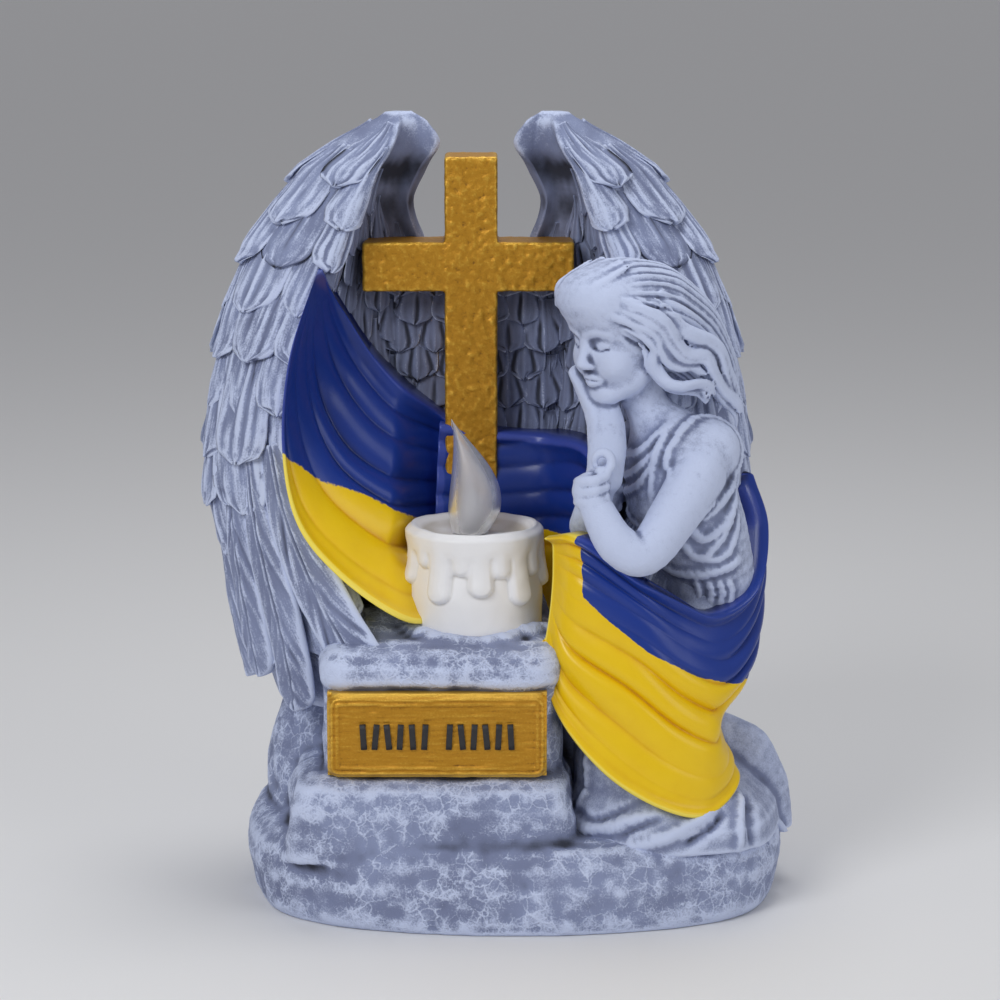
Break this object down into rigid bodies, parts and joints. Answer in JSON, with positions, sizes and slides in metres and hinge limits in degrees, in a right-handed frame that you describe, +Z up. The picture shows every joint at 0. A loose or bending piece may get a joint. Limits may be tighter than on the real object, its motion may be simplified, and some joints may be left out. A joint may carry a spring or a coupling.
{
  "type": "memorial angel figurine",
  "caption": "Painted resin memorial figurine: an angel kneels in a draped flag by a candle with a translucent flame, before a cross and feathered wings on a rock base.",
  "frame": {"origin": "middle of the flat underside", "axes": "+Z up, -Y towards the viewer, the kneeling figure on the +X side"},
  "size_m": [0.1581, 0.1009, 0.201],
  "materials": {
    "stone_paint": "grey lilac paint, dry-brushed white",
    "gold_paint": "metallic gold paint, dark in its pits",
    "blue_paint": "glossy paint",
    "yellow_paint": "glossy paint",
    "wax_paint": "white satin paint",
    "frosted_plastic": "frosted, translucent"
  },
  "bodies": {
    "root": {"statue": "stone_paint", "flame": "frosted_plastic"}
  },
  "joints": []
}
